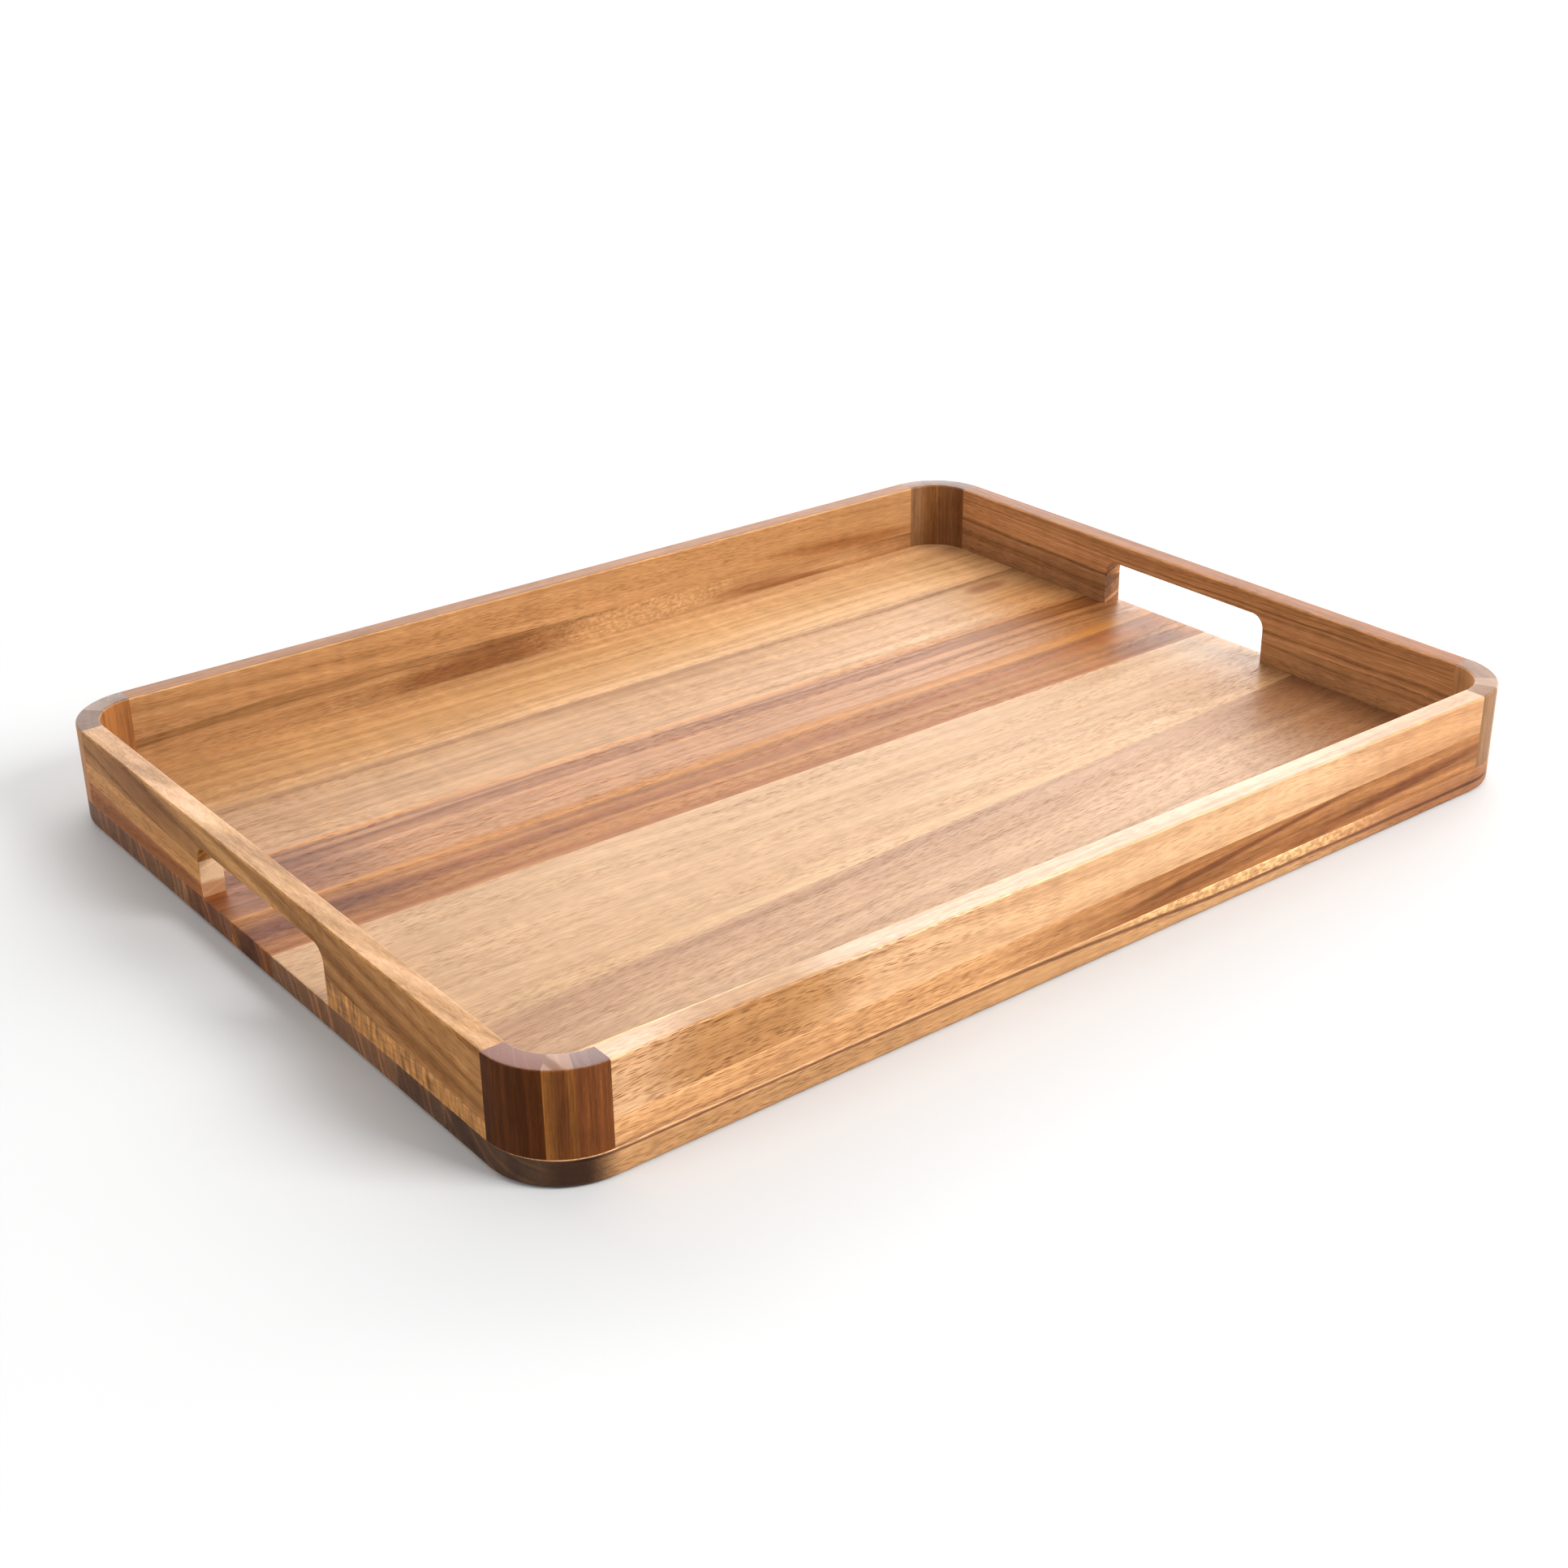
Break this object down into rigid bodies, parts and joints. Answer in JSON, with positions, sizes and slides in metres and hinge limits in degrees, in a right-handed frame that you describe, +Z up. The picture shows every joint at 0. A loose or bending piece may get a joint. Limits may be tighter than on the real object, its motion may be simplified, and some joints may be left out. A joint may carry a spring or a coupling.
{
  "type": "serving tray",
  "caption": "Rectangular wooden serving tray: staved base board, low walls with rounded corner blocks, and a hand slot in each short wall.",
  "frame": {"origin": "centre of the underside of the base board, on the surface that the tray stands on", "axes": "+X along the long side, +Y along the short side, +Z up out of the tray"},
  "size_m": [0.61, 0.457, 0.0545],
  "materials": {
    "pale_wood": "oiled satin",
    "golden_wood": "oiled satin",
    "brown_wood": "oiled satin",
    "dark_wood": "oiled satin",
    "russet_wood": "oiled satin",
    "dowel_wood": "oiled satin"
  },
  "bodies": {
    "root": {"base_stave_2": "pale_wood", "base_stave_3": "pale_wood", "front_wall_upper": "pale_wood", "base_stave_1": "golden_wood", "base_stave_6": "golden_wood", "base_stave_7": "golden_wood", "back_wall_lower": "golden_wood", "back_wall_upper": "golden_wood", "front_wall_lower": "golden_wood", "base_stave_4": "brown_wood", "base_stave_5": "brown_wood", "left_wall_lower_front": "brown_wood", "left_wall_lower_back": "brown_wood", "left_wall_upper": "brown_wood", "right_wall_lower_front": "brown_wood", "right_wall_lower_back": "brown_wood", "right_wall_upper": "brown_wood", "front_left_block_1": "dark_wood", "front_left_block_2": "dark_wood", "front_left_block_3": "dark_wood", "back_right_block_1": "dark_wood", "back_right_block_2": "dark_wood", "back_right_block_3": "dark_wood", "front_right_block_1": "russet_wood", "front_right_block_2": "russet_wood", "front_right_block_3": "russet_wood", "back_left_block_1": "russet_wood", "back_left_block_2": "russet_wood", "back_left_block_3": "russet_wood", "joint_dowels": "dowel_wood"}
  },
  "joints": []
}
